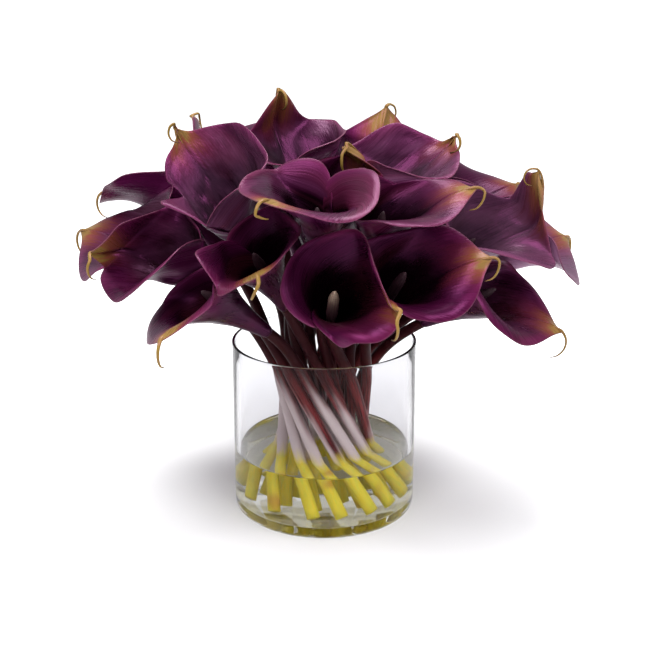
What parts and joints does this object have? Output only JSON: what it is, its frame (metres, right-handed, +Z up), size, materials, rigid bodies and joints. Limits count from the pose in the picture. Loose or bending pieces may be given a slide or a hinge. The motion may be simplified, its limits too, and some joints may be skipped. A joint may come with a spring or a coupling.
{
  "type": "calla lily flower bouquet in a glass vase",
  "caption": "Low, full bunch of dark purple calla lilies with long bare stems, standing in a round clear glass vase part filled with water.",
  "frame": {"origin": "middle of the vase's foot, on the surface it stands on", "axes": "+Z up along the vase's axis, -Y towards the viewer of the picture, +X to the viewer's right"},
  "size_m": [0.4306, 0.3685, 0.3556],
  "materials": {
    "vase_glass": "polished",
    "water": "polished",
    "stem": "satin",
    "spathe": "satin"
  },
  "bodies": {
    "root": {"vase": "vase_glass", "water": "water", "stem_front_centre": "stem", "stem_front_left": "stem", "stem_left_low": "stem", "stem_left_front": "stem", "stem_left_middle": "stem", "stem_left_back": "stem", "stem_right_middle": "stem", "stem_right_low": "stem", "stem_right_far": "stem", "stem_right_back": "stem", "stem_right_centre": "stem", "stem_right_shoulder": "stem", "stem_centre_top": "stem", "stem_centre_right": "stem", "stem_upper_left": "stem", "stem_top_centre": "stem", "stem_upper_right": "stem", "stem_top_right": "stem", "stem_top_left": "stem", "stem_back_left": "stem", "stem_back_centre": "stem", "stem_back_right": "stem", "stem_back_high_left": "stem", "stem_back_high_right": "stem", "spathe_front_centre": "spathe", "spathe_front_left": "spathe", "spathe_left_low": "spathe", "spathe_left_front": "spathe", "spathe_left_middle": "spathe", "spathe_left_back": "spathe", "spathe_right_middle": "spathe", "spathe_right_low": "spathe", "spathe_right_far": "spathe", "spathe_right_back": "spathe", "spathe_right_centre": "spathe", "spathe_right_shoulder": "spathe", "spathe_centre_top": "spathe", "spathe_centre_right": "spathe", "spathe_upper_left": "spathe", "spathe_top_centre": "spathe", "spathe_upper_right": "spathe", "spathe_top_right": "spathe", "spathe_top_left": "spathe", "spathe_back_left": "spathe", "spathe_back_centre": "spathe", "spathe_back_right": "spathe", "spathe_back_high_left": "spathe", "spathe_back_high_right": "spathe"}
  },
  "joints": []
}
